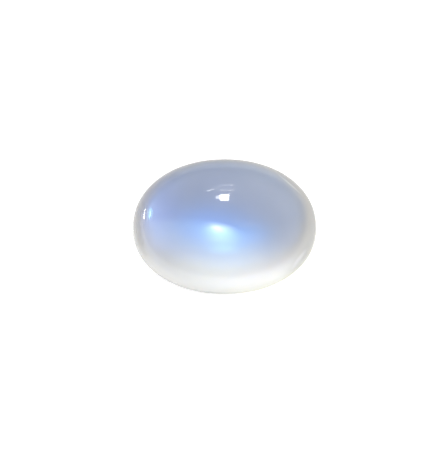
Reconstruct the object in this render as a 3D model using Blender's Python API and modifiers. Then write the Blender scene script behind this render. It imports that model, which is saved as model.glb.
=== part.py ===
"""Moonstone cabochon: one cut and polished stone, an oval plan under a high dome, with a flat base.

Metres, +Z up. The origin is at the middle of the flat base, the long axis of the oval lies
along X and the short one along Y, and the dome rises along +Z.
"""

import math

import bpy

# Driving dimensions.
LENGTH = 0.016  # the oval's long axis, at the girdle
WIDTH = 0.012  # the oval's short axis, at the girdle
HEIGHT = 0.0050  # from the flat base to the top of the dome
GIRDLE_HEIGHT = 0.00035  # the widest level, which is also the radius of the edge rounded below it
OVAL_POWER = 2.08  # 2 makes the plan a plain ellipse, and a little more gives it fuller corners
DOME_POWER = 2.6  # 2 makes the dome half an ellipse, and more gives it steeper sides

# How finely the solid is faceted.
TURN_STEPS = 80
DOME_STEPS = 26
EDGE_STEPS = 4
MERGE_DISTANCE = 1e-6
CREASE_DEGREES = 40

# Body colour of the stone in linear light, a pale grey-blue milk, and its polish.
BODY_COLOUR = (0.46, 0.52, 0.70, 1.0)
BODY_ROUGHNESS = 0.05
BODY_IOR = 1.52
BODY_TRANSMISSION = 0.3


def clear_scene():
    for old in list(bpy.data.objects):
        bpy.data.objects.remove(old, do_unlink=True)


def quarter_turn(steps):
    """Angles from 0 to 90 degrees, both ends included."""
    return [math.radians(90) * step / steps for step in range(steps + 1)]


def dome_level(angle):
    """Height on the dome, from 1 at its top, angle 0, to 0 at the girdle, angle 90 degrees."""
    return max(math.cos(angle), 0.0) ** (2 / DOME_POWER)


def profile_points():
    """Half section at +X, down the dome from its top, round the edge and in along the base."""
    reach = LENGTH / 2
    rise = HEIGHT - GIRDLE_HEIGHT
    dome = [
        (reach * math.sin(angle), GIRDLE_HEIGHT + rise * dome_level(angle))
        for angle in quarter_turn(DOME_STEPS)
    ]
    edge = [
        (
            reach - GIRDLE_HEIGHT + GIRDLE_HEIGHT * math.cos(angle),
            GIRDLE_HEIGHT - GIRDLE_HEIGHT * math.sin(angle),
        )
        for angle in quarter_turn(EDGE_STEPS)
    ]
    base_middle = (0.0, 0.0)
    return dome + edge[1:] + [base_middle]


def turned_mesh(name):
    """The half section turned about Z, as a plain mesh with a round plan."""
    points = profile_points()
    section = bpy.data.meshes.new(name + "_section")
    edges = [(index, index + 1) for index in range(len(points) - 1)]
    section.from_pydata([(x, 0.0, z) for x, z in points], edges, [])
    turning = bpy.data.objects.new(name + "_turning", section)
    bpy.context.scene.collection.objects.link(turning)

    screw = turning.modifiers.new("Turn", "SCREW")
    screw.axis = "Z"
    screw.angle = math.radians(360)
    screw.steps = TURN_STEPS
    screw.render_steps = TURN_STEPS
    screw.use_merge_vertices = True
    screw.merge_threshold = MERGE_DISTANCE
    screw.use_smooth_shade = True

    evaluated = turning.evaluated_get(bpy.context.evaluated_depsgraph_get())
    mesh = bpy.data.meshes.new_from_object(evaluated)
    mesh.name = name
    bpy.data.objects.remove(turning, do_unlink=True)
    bpy.data.meshes.remove(section)
    return mesh


def fullness(x, y):
    """How far the fuller oval reaches past a round one, in the direction of (x, y)."""
    reach = math.hypot(x, y)
    if reach == 0.0:
        return 1.0
    total = abs(x / reach) ** OVAL_POWER + abs(y / reach) ** OVAL_POWER
    return total ** (-1 / OVAL_POWER)


def make_oval(mesh):
    """Turns the round plan into the oval one. The fullness fades out towards the dome's top."""
    half = LENGTH / 2
    for vertex in mesh.vertices:
        x, y = vertex.co.x, vertex.co.y
        out = (x * x + y * y) / (half * half)
        grow = 1.0 + (fullness(x, y) - 1.0) * out
        vertex.co.x = x * grow
        vertex.co.y = y * grow * WIDTH / LENGTH


def moonstone_material():
    material = bpy.data.materials.new("polished_moonstone")
    material.use_nodes = True
    material.diffuse_color = BODY_COLOUR
    shader = material.node_tree.nodes["Principled BSDF"]
    shader.inputs["Base Color"].default_value = BODY_COLOUR
    shader.inputs["Roughness"].default_value = BODY_ROUGHNESS
    shader.inputs["Metallic"].default_value = 0.0
    shader.inputs["IOR"].default_value = BODY_IOR
    shader.inputs["Transmission Weight"].default_value = BODY_TRANSMISSION
    return material


def make_stone(collection):
    mesh = turned_mesh("moonstone")
    make_oval(mesh)
    mesh.shade_smooth()
    mesh.set_sharp_from_angle(angle=math.radians(CREASE_DEGREES))
    mesh.materials.append(moonstone_material())
    stone = bpy.data.objects.new("moonstone", mesh)
    collection.objects.link(stone)
    return stone


def main():
    clear_scene()
    collection = bpy.data.collections.new("moonstone_cabochon")
    bpy.context.scene.collection.children.link(collection)
    make_stone(collection)


main()
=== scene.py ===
import math

import bmesh
import bpy
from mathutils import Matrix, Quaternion, Vector


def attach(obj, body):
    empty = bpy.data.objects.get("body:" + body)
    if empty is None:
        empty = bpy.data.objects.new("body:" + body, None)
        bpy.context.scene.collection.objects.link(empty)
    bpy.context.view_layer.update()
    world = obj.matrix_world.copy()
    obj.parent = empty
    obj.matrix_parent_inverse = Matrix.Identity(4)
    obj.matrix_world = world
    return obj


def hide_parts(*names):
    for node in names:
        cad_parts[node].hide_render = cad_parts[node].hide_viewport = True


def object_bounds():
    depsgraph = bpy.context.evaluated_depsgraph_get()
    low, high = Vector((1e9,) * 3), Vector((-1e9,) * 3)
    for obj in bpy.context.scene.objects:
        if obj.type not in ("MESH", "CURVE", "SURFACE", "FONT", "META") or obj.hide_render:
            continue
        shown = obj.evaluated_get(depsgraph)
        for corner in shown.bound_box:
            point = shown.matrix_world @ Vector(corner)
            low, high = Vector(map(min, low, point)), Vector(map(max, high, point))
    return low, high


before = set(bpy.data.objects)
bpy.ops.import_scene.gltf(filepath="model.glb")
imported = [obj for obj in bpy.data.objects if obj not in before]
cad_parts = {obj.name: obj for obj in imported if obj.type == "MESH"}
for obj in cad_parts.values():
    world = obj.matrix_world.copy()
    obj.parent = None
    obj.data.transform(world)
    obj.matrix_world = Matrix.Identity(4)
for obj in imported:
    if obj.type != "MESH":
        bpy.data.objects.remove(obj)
cadLow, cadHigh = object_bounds()

mm = 0.001


# colours are given as sRGB hex and turned linear here
def colour(hexText):
    channels = [int(hexText[at:at + 2], 16) / 255 for at in (0, 2, 4)]
    linear = [c / 12.92 if c <= 0.04045 else ((c + 0.055) / 1.055) ** 2.4 for c in channels]
    return (*linear, 1.0)


# adds a node with its settings and links, and returns its output. Inputs go by name, with a
# list where several share a name
def addNode(tree, kind, inputs=None, output=None, **settings):
    node = tree.nodes.new(kind)
    for name, value in settings.items():
        setattr(node, name, value)
    for name, given in (inputs or {}).items():
        sockets = [s for s in node.inputs if s.enabled and s.name == name]
        for socket, value in zip(sockets, given if isinstance(given, list) else [given]):
            if isinstance(value, bpy.types.NodeSocket):
                tree.links.new(value, socket)
            else:
                socket.default_value = value
    shown = [s for s in node.outputs if s.enabled and output in (None, s.name)]
    return shown[0] if shown else None


# azimuth 0 is the front, 90 the right side
def towards(azimuth, elevation):
    a = math.radians(azimuth)
    e = math.radians(elevation)
    return Vector((math.sin(a) * math.cos(e), -math.cos(a) * math.cos(e), math.sin(e)))


noLimit = 1.0  # a metre, far past the stone on all sides

# orthoclase with layers of albite too thin to see, cut as an oval cabochon and polished: a milky
# body, clearer at the thin edge, with a blue billow of light that the layers send back from
# inside. Light and shade are painted into the body's colour: whiter towards the front, where
# light that falls through the stone gathers, darker under the dome, and grey at the edge and at
# the foot. x runs along the stone to its right end, y to its back
moonstone = {
    "length": cadHigh.x - cadLow.x,
    "width": cadHigh.y - cadLow.y,
    "height": cadHigh.z - cadLow.z,
    "girdle": 0.35 * mm,  # widest level, and the radius of the edge rounded below it
    "ovalPower": 2.08,  # 2 is a plain ellipse, more gives fuller corners
    "domePower": 2.6,  # 2 is half an ellipse, more gives steeper sides
    "turnSteps": 240,
    "domeSteps": 80,
    "edgeSteps": 10,
    "baseRings": (0.97, 0.6),  # rings of points on the flat base, as shares of its reach
    "mergeWithin": 0.0001 * mm,

    "ior": 1.52,
    "polish": 0.04,  # roughness of the polished skin
    "haze": (0.36, 0.48),  # roughness inside, for thin and for thick clouds
    "baseHaze": 0.65,  # the base is lapped and not polished
    "depth": 1.2 * mm,  # how far light wanders in the milk
    "depthShares": (1.0, 1.1, 1.3),  # of that for red, green and blue
    "clearBack": 0.6,  # share of the light that passes through
    "clearFront": 0.1,
    "clearEdge": 0.6,
    "hidden": 0.5,  # share of the billow hidden in the white front, whose white is partly painted light

    "cloudSize": 2.5 * mm,
    "cloudDrift": 0.35 * mm,  # how far clouds push the borders of the zones about
    "cloudMilk": 0.1,  # share of white milk in them
    "cloudMiddle": (0.5, 0.5, 0.5),  # of the noise's values
    "cloudRange": (0.3, 0.7),  # the noise's values for thin and for thick clouds
    "rippleSize": 0.17 * mm,  # waves that the polishing left
    "rippleHeight": 0.00035 * mm,
    "noise": {"Detail": 2.0, "Roughness": 0.5},

    # zones that fade in along a direction, between two places on the way. A place that is a
    # pair is given for the left and for the right end of the stone
    "fades": {
        "white": {"along": (0.0, -0.5, -0.866),  # the way that light falls through the stone: the white there is painted light
                  "between": ((-4.44 * mm, -3.07 * mm), (-0.59 * mm, 1.74 * mm))},
        "low": {"along": (0.0, -0.2, 1.0),  # towards the girdle, from higher up at the back
                "between": ((3.2 * mm, 4.54 * mm), (2.56 * mm, 1.05 * mm))},
        "above": {"along": (0.0, -0.2, 1.0), "between": (0.2 * mm, 2.4 * mm)},
        "behind": {"along": (0.08, 1.0, 0.0), "between": (-4.83 * mm, -2.23 * mm)},
        "back": {"along": (0.0, 1.0, 0.0), "between": (-4.0 * mm, 6.7 * mm)},
        "deepTintAndShade": {"along": (0.0, 0.0, 1.0),  # darker by painted shade under the dome, where there is most stone to see
                 "between": (2.5 * mm, 5.36 * mm)},
        "girdle": {"along": (0.0, 0.0, 1.0), "between": (3.0 * mm, -0.15 * mm)},
        "foot": {"along": (0.0, 0.0, 1.0), "between": (0.9 * mm, 0.1 * mm)},
        "across": {"along": (1.0, 0.0, 0.0), "between": (-20.12 * mm, 3.78 * mm)},
        "right": {"along": (1.0, 0.0, 0.0), "between": (-1.87 * mm, 3.43 * mm)},
        "leftEnd": {"along": (1.0, 0.0, 0.0), "between": (-2.5 * mm, -6.0 * mm)},
        "leftLevel": {"along": (0.0, 0.0, 1.0), "between": (1.6 * mm, 3.0 * mm)},
        "layered": {"along": (0.0, 0.0, 1.0),  # no flat layers are seen through the wall
                    "between": (2.4 * mm, 3.8 * mm)},
        "polished": {"along": (0.0, -0.2, 1.0), "between": (1.5 * mm, 2.5 * mm),
                     "least": 0.3},  # the wall by the girdle took less polish
    },

    # zones that are ovals, turned by degrees, with a soft border as a share of the reach
    "patches": {
        "bundle": {"at": (-3.1 * mm, -1.97 * mm, 0.0), "reach": (4.34 * mm, 1.15 * mm, noLimit),
                   "turn": -9.3, "soft": 0.47},
        "spark": {"at": (-0.66 * mm, -1.62 * mm, 0.0), "reach": (0.5 * mm, 0.26 * mm, noLimit),
                  "turn": -20.0, "soft": 0.5},
        "flake": {"at": (-6.59 * mm, 0.3 * mm, 3.3 * mm), "reach": (0.5 * mm, 0.44 * mm, 0.6 * mm),
                  "turn": 0.0, "soft": 0.5},
        # ovals for painted light: inside the edge at the lower right, and a pale line at the upper
        # right
        "paintedGleam": {"at": (6.45 * mm, -3.32 * mm, 1.85 * mm), "reach": (0.8 * mm, 0.1 * mm, 0.6 * mm),
                  "turn": 53.0, "soft": 0.8},
        "paintedBackGleam": {"at": (5.78 * mm, 3.06 * mm, 2.92 * mm), "reach": (1.0 * mm, 0.09 * mm, 0.6 * mm),
                      "turn": -41.0, "soft": 0.8},
    },

    # zones where others overlap
    "overlaps": {
        "edge": ("low", "behind", "above"),  # the clear edge, lost in the white at the front
        "billow": ("layered", "unveiled"),
        "core": ("billow", "bundle"),  # more layers, with a clear border at the back
        "coreSpark": ("billow", "spark"),
        "leftSheen": ("leftLevel", "leftEnd"),
        "leftFlake": ("leftLevel", "flake"),
    },

    # the colours of the milky body, and of the light and shade painted into it, lie over each other in
    # this order, and turn into others along fades
    "sideTint": "D2CFD1",
    "milk": (
        # the stone's own grey-blue, darkened by painted shade under the dome
        {"zones": ("deepTintAndShade",), "tint": "A5A3B0", "turns": {}},
        # painted light gathered towards the front, over real milky clouds
        {"zones": ("white", "clouds"), "tint": "342738",  # reached only past the left end
         "turns": {"across": "F6F9F9", "right": "F5F6F9"}},
        # greyer towards the girdle by painted shade, with painted warm light at the right end
        {"zones": ("girdle",), "tint": "D0CFCA", "turns": {"right": "E2E2D0"}},
        # painted shade greys the clear edge, darkest at the back
        {"zones": ("edge",), "tint": "DBDAD7", "turns": {"right": "CDCCCC", "back": "7C7A7B"}},
        {"zones": ("paintedGleam",), "tint": "F0EFF2", "turns": {}},  # painted light, gathered inside the edge
        # a pale line of painted light at the upper right
        {"zones": ("paintedBackGleam",), "tint": "D3D2CD", "turns": {}},
        # painted shade darkens the foot on the table, with painted warm light at the right end
        {"zones": ("foot",), "tint": "AEAFAB", "turns": {"right": "E2E2D0"}},
    ),

    # each sheet of layers is tilted from flat by degrees towards +x and +y, and blurs what it
    # mirrors by its spread. The thinner its layers, the bluer its tint
    "layers": (
        {"zone": "billow", "tilt": (-1.95, 2.2), "spread": 0.3, "share": 0.1, "tint": "008AFF"},
        {"zone": "billow", "tilt": (1.9, 0.85), "spread": 0.24, "share": 0.026, "tint": "009CFF"},
        {"zone": "billow", "tilt": (0.1, -3.9), "spread": 0.3, "share": 0.045, "tint": "BBEAFF"},
        {"zone": "leftSheen", "tilt": (-38.4, 1.0), "spread": 0.38, "share": 0.088, "tint": "6D95FF"},
        {"zone": "leftSheen", "tilt": (-40.2, 4.3), "spread": 0.22, "share": 0.012, "tint": "70B0FF"},
        {"zone": "leftFlake", "tilt": (-40.2, 4.3), "spread": 0.12, "share": 0.016, "tint": "B0FFF8"},
        {"zone": "core", "tilt": (0.0, -2.1), "spread": 0.145, "share": 0.013, "tint": "B0FFFF"},
        {"zone": "core", "tilt": (0.0, 1.95), "spread": 0.19, "share": 0.028, "tint": "C9FFFF"},
        {"zone": "core", "tilt": (0.0, 3.4), "spread": 0.134, "share": 0.032, "tint": "F4FFFA"},
        {"zone": "coreSpark", "tilt": (0.0, 3.4), "spread": 0.12, "share": 0.018, "tint": "FFD8D8"},
    ),
}


# from the top of the dome down to the middle of the base, as a round stone would have it
def profilePoints(look):
    reach = look["length"] / 2
    girdle = look["girdle"]
    rise = look["height"] - girdle
    points = []
    for step in range(look["domeSteps"] + 1):
        angle = math.pi / 2 * step / look["domeSteps"]
        level = max(math.cos(angle), 0.0) ** (2 / look["domePower"])
        points.append((reach * math.sin(angle), girdle + rise * level))
    for step in range(1, look["edgeSteps"] + 1):
        angle = math.pi / 2 * step / look["edgeSteps"]
        across = reach - girdle + girdle * math.cos(angle)
        points.append((across, girdle - girdle * math.sin(angle)))
    flatReach = reach - girdle
    points += [(flatReach * share, 0.0) for share in look["baseRings"]]
    points.append((0.0, 0.0))
    return points


def makeStone(look):
    bm = bmesh.new()
    section = [bm.verts.new((x, 0.0, z)) for x, z in profilePoints(look)]
    edges = [bm.edges.new(pair) for pair in zip(section, section[1:])]
    bmesh.ops.spin(bm, geom=section + edges, cent=(0, 0, 0), axis=(0, 0, 1), angle=math.tau,
                   steps=look["turnSteps"], use_merge=True)
    bmesh.ops.remove_doubles(bm, verts=bm.verts[:], dist=look["mergeWithin"])

    # from round to oval, the fuller corners fading out towards the top
    half = look["length"] / 2
    power = look["ovalPower"]
    for vert in bm.verts:
        x, y, _ = vert.co
        reach = math.hypot(x, y)
        if reach > 0:
            full = ((abs(x) / reach) ** power + (abs(y) / reach) ** power) ** (-1 / power)
            grow = 1 + (full - 1) * (reach / half) ** 2
            vert.co.x = x * grow
            vert.co.y = y * grow * look["width"] / look["length"]
    bmesh.ops.recalc_face_normals(bm, faces=bm.faces[:])
    mesh = bpy.data.meshes.new("moonstoneCabochon")
    bm.to_mesh(mesh)
    bm.free()
    mesh.shade_smooth()
    stone = bpy.data.objects.new("moonstoneCabochon", mesh)
    bpy.context.scene.collection.objects.link(stone)
    return stone


# how far each place of the stone is in each zone, from 0 to 1. place is where it is, and
# drifted is the same pushed about by the clouds
def makeZones(tree, look, place, drifted, cloud):
    half = look["length"] / 2
    x = addNode(tree, "ShaderNodeSeparateXYZ", {"Vector": drifted}, "X")
    zones = {}
    for name, fade in look["fades"].items():
        way = addNode(tree, "ShaderNodeVectorMath", {"Vector": [drifted, fade["along"]]}, "Value",
                      operation="DOT_PRODUCT")
        limits = []
        for limit in fade["between"]:
            if isinstance(limit, tuple):
                limit = addNode(tree, "ShaderNodeMapRange", {
                    "Value": x, "From Min": -half, "From Max": half,
                    "To Min": limit[0], "To Max": limit[1]})
            limits.append(limit)
        zones[name] = addNode(tree, "ShaderNodeMapRange", {
            "Value": way, "From Min": limits[0], "From Max": limits[1],
            "To Min": fade.get("least", 0.0)}, interpolation_type="SMOOTHSTEP")
    for name, patch in look["patches"].items():
        mapped = addNode(tree, "ShaderNodeMapping", {
            "Vector": place, "Location": patch["at"],
            "Rotation": (0, 0, math.radians(patch["turn"])), "Scale": patch["reach"]},
            vector_type="TEXTURE")
        off = addNode(tree, "ShaderNodeVectorMath", {"Vector": mapped}, "Value",
                      operation="LENGTH")
        zones[name] = addNode(tree, "ShaderNodeMapRange", {
            "Value": off, "From Min": 1 + patch["soft"], "From Max": 1 - patch["soft"]},
            interpolation_type="SMOOTHSTEP")
    zones["clouds"] = addNode(tree, "ShaderNodeMath", {"Value": [cloud, look["cloudMilk"]]},
                              operation="MULTIPLY")
    zones["unveiled"] = addNode(tree, "ShaderNodeMapRange", {
        "Value": zones["white"], "To Min": 1.0, "To Max": 1 - look["hidden"]})
    for name, parts in look["overlaps"].items():
        zones[name] = zones[parts[0]]
        for part in parts[1:]:
            zones[name] = addNode(tree, "ShaderNodeMath", {"Value": [zones[name], zones[part]]},
                                  operation="MULTIPLY")
    return zones


# the body's colour: its milky tints with painted light and shade over them
def makeMilkAndPaintedLight(tree, look, zones):
    milk = colour(look["sideTint"])
    for coat in look["milk"]:
        tint = colour(coat["tint"])
        for fade, other in coat["turns"].items():
            tint = addNode(tree, "ShaderNodeMix", {
                "Factor": zones[fade], "A": tint, "B": colour(other)}, data_type="RGBA")
        for zone in coat["zones"]:
            milk = addNode(tree, "ShaderNodeMix", {"Factor": zones[zone], "A": milk, "B": tint},
                           data_type="RGBA")
    return milk


# a layer inside is seen through the dome, which bends light on its way in and out: the layer
# mirrors as a surface would whose normal is ior * layer - (ior - 1) * dome
def addLayers(tree, look, zones, shader):
    dome = addNode(tree, "ShaderNodeNewGeometry", output="Normal")
    for sheet in look["layers"]:
        across, back = (math.tan(math.radians(angle)) for angle in sheet["tilt"])
        upright = Vector((across, back, 1)).normalized() * look["ior"]
        turned = addNode(tree, "ShaderNodeVectorTransform", {"Vector": upright},
                         vector_type="VECTOR", convert_from="OBJECT", convert_to="WORLD")
        bent = addNode(tree, "ShaderNodeVectorMath", {
            "Vector": [dome, (1 - look["ior"],) * 3, turned]}, operation="MULTIPLY_ADD")
        mirror = addNode(tree, "ShaderNodeVectorMath", {"Vector": bent}, operation="NORMALIZE")
        lobe = addNode(tree, "ShaderNodeBsdfAnisotropic", {
            "Color": colour(sheet["tint"]), "Roughness": sheet["spread"], "Normal": mirror},
            distribution="BECKMANN")
        share = addNode(tree, "ShaderNodeMath", {"Value": [zones[sheet["zone"]], sheet["share"]]},
                        operation="MULTIPLY")
        shader = addNode(tree, "ShaderNodeMixShader", {"Fac": share, "Shader": [shader, lobe]})
    return shader


def moonstoneMaterial(look):
    material = bpy.data.materials.new("polishedMoonstone")
    material.use_nodes = True
    tree = material.node_tree
    tree.nodes.clear()
    material.cycles.use_bump_map_correction = False  # it would bend the layers' normals

    # clouds tint the milk and push the borders of its zones about
    place = addNode(tree, "ShaderNodeTexCoord", output="Object")
    cloud = addNode(tree, "ShaderNodeTexNoise", {
        "Vector": place, "Scale": 1 / look["cloudSize"], **look["noise"]}, "Color")
    centred = addNode(tree, "ShaderNodeVectorMath", {"Vector": [cloud, look["cloudMiddle"]]},
                      operation="SUBTRACT")
    drifted = addNode(tree, "ShaderNodeVectorMath", {
        "Vector": [centred, (look["cloudDrift"],) * 3, place]}, operation="MULTIPLY_ADD")
    zones = makeZones(tree, look, place, drifted, cloud)

    thickness = addNode(tree, "ShaderNodeSeparateXYZ", {"Vector": cloud}, "X")
    haze = addNode(tree, "ShaderNodeMapRange", {
        "Value": thickness, "From Min": look["cloudRange"][0], "From Max": look["cloudRange"][1],
        "To Min": look["haze"][0], "To Max": look["haze"][1]})
    haze = addNode(tree, "ShaderNodeMix", {
        "Factor": zones["foot"], "A": haze, "B": look["baseHaze"]})
    clear = addNode(tree, "ShaderNodeMix", {
        "Factor": zones["white"], "A": look["clearBack"], "B": look["clearFront"]})
    clear = addNode(tree, "ShaderNodeMix", {
        "Factor": zones["edge"], "A": clear, "B": look["clearEdge"]})
    ripple = addNode(tree, "ShaderNodeTexNoise", {
        "Vector": place, "Scale": 1 / look["rippleSize"], **look["noise"]}, "Fac")
    waved = addNode(tree, "ShaderNodeBump", {"Height": ripple, "Distance": look["rippleHeight"]})
    shader = addNode(tree, "ShaderNodeBsdfPrincipled", {
        "Base Color": makeMilkAndPaintedLight(tree, look, zones), "Roughness": haze, "IOR": look["ior"],
        "Specular IOR Level": 0.0,  # only the polish mirrors
        "Transmission Weight": clear, "Subsurface Weight": 1.0,
        "Subsurface Radius": look["depthShares"], "Subsurface Scale": look["depth"],
        "Coat Weight": zones["polished"], "Coat Roughness": look["polish"],
        "Coat IOR": look["ior"], "Coat Normal": waved})
    shader = addLayers(tree, look, zones, shader)
    addNode(tree, "ShaderNodeOutputMaterial", {"Surface": shader})
    return material


stone = makeStone(moonstone)
print("stone cut")
stone.data.materials.append(moonstoneMaterial(moonstone))
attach(stone, "root")
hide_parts("moonstone")
print("stone polished")

# opal acrylic, matt and lit from below, so that it stays white right up to the stone
table = {"size": 4.0, "gap": 0.02 * mm, "tint": "F6F6F6", "roughness": 0.8, "glow": 0.3}


def makeTable(look):
    bm = bmesh.new()
    bmesh.ops.create_grid(bm, x_segments=1, y_segments=1, size=look["size"] / 2)
    bmesh.ops.translate(bm, verts=bm.verts[:], vec=(0, 0, -look["gap"]))
    mesh = bpy.data.meshes.new("floor")
    bm.to_mesh(mesh)
    bm.free()
    floor = bpy.data.objects.new("floor", mesh)
    bpy.context.scene.collection.objects.link(floor)
    material = bpy.data.materials.new("opalAcrylicTable")
    material.use_nodes = True
    shader = material.node_tree.nodes["Principled BSDF"]
    shader.inputs["Base Color"].default_value = colour(look["tint"])
    shader.inputs["Roughness"].default_value = look["roughness"]
    shader.inputs["Emission Color"].default_value = (1, 1, 1, 1)
    shader.inputs["Emission Strength"].default_value = look["glow"]
    floor.data.materials.append(material)
    return floor


floor = makeTable(table)
print("table made")

# each box stands in a direction given by azimuth and elevation in degrees, and faces the stone
softboxes = {
    # the bright reflection with its wing, and most of the billow
    "keyBox": {"at": (180.0, 56.7), "distance": 0.3, "size": (0.0255, 0.038), "roll": 0.0,
               "radiance": 38},
    "wingBox": {"at": (186.6, 56.2), "distance": 0.3, "size": (0.0125, 0.02), "roll": 0.0,
                "radiance": 12},
    # two faint lines further back, and a pale pane behind them
    "lowStrip": {"at": (178.0, 47.7), "distance": 0.3, "size": (0.036, 0.003), "roll": 0.0,
                 "radiance": 15},
    "farStrip": {"at": (178.5, 40.3), "distance": 0.3, "size": (0.036, 0.004), "roll": 0.0,
                 "radiance": 7},
    "window": {"at": (181.4, 43.3), "distance": 0.31, "size": (0.07, 0.042), "roll": 0.0,
               "radiance": 0.6},
    # a thin streak left of the lines
    "leftSpark": {"at": (192.6, 46.6), "distance": 0.3, "size": (0.01, 0.006), "roll": 0.0,
                  "radiance": 14},
    "rightSpark": {"at": (189.2, 46.2), "distance": 0.3, "size": (0.008, 0.006), "roll": 0.0,
                   "radiance": 11},
    # the sheen and the streaks at the left end
    "sideBox": {"at": (-113.0, 1.2), "distance": 0.3, "size": (0.072, 0.013), "roll": 22.0,
                "radiance": 48},
}


def addSoftbox(name, look):
    light = bpy.data.lights.new(name, "AREA")
    light.shape = "RECTANGLE"
    light.size, light.size_y = look["size"]
    light.energy = look["radiance"] * math.pi * light.size * light.size_y
    box = bpy.data.objects.new(name, light)
    box.location = towards(*look["at"]) * look["distance"]
    turn = Quaternion((0, 0, 1), math.radians(look["roll"]))
    box.rotation_euler = ((-box.location).to_track_quat("-Z", "Y") @ turn).to_euler()
    box.visible_camera = False
    bpy.context.scene.collection.objects.link(box)


for name, look in softboxes.items():
    addSoftbox(name, look)

# a white dome of light, dimmer towards the horizon. Its heights are sines of the elevation
studio = {"low": 0.1, "high": 0.7, "lowStrength": 0.5, "highStrength": 1.3}


def makeStudio(look):
    world = bpy.data.worlds.new("studio")
    world.use_nodes = True
    tree = world.node_tree
    tree.nodes.clear()
    direction = addNode(tree, "ShaderNodeTexCoord", output="Generated")
    z = addNode(tree, "ShaderNodeSeparateXYZ", {"Vector": direction}, "Z")
    strength = addNode(tree, "ShaderNodeMapRange", {
        "Value": z, "From Min": look["low"], "From Max": look["high"],
        "To Min": look["lowStrength"], "To Max": look["highStrength"]},
        interpolation_type="SMOOTHSTEP")
    sky = addNode(tree, "ShaderNodeBackground", {"Color": (1, 1, 1, 1), "Strength": strength})
    addNode(tree, "ShaderNodeOutputWorld", {"Surface": sky})
    bpy.context.scene.world = world


makeStudio(studio)
bpy.context.scene.view_settings.view_transform = "Standard"
print("lights placed")

# pixels are counted from the top left corner of the picture
picture = {
    "width": 432,
    "height": 454,
    "stoneAt": (224.6, 220.3),  # the pixel where the target lies
    "pixelsPerMm": 11.52,
    "target": (0.0, 0.0, 2.5 * mm),
    "elevation": 72.0,
    "distance": 0.3,
    "sensor": 36.0,
    "nearest": 0.01,
}


def makeCamera(look):
    lens = bpy.data.cameras.new("camera")
    lens.sensor_fit = "HORIZONTAL"
    lens.sensor_width = look["sensor"]
    pixelsPerMetre = look["pixelsPerMm"] / mm
    lens.lens = pixelsPerMetre * look["distance"] * look["sensor"] / look["width"]
    lens.clip_start = look["nearest"]
    camera = bpy.data.objects.new("camera", lens)
    back = towards(0, look["elevation"])
    right = Vector((1, 0, 0))
    up = back.cross(right)
    offRight = (look["stoneAt"][0] - look["width"] / 2) / pixelsPerMetre
    offUp = (look["height"] / 2 - look["stoneAt"][1]) / pixelsPerMetre
    aim = Vector(look["target"]) - right * offRight - up * offUp
    camera.location = aim + back * look["distance"]
    camera.rotation_euler = (-back).to_track_quat("-Z", "Y").to_euler()
    bpy.context.scene.collection.objects.link(camera)
    bpy.context.scene.camera = camera


makeCamera(picture)
print("camera placed")
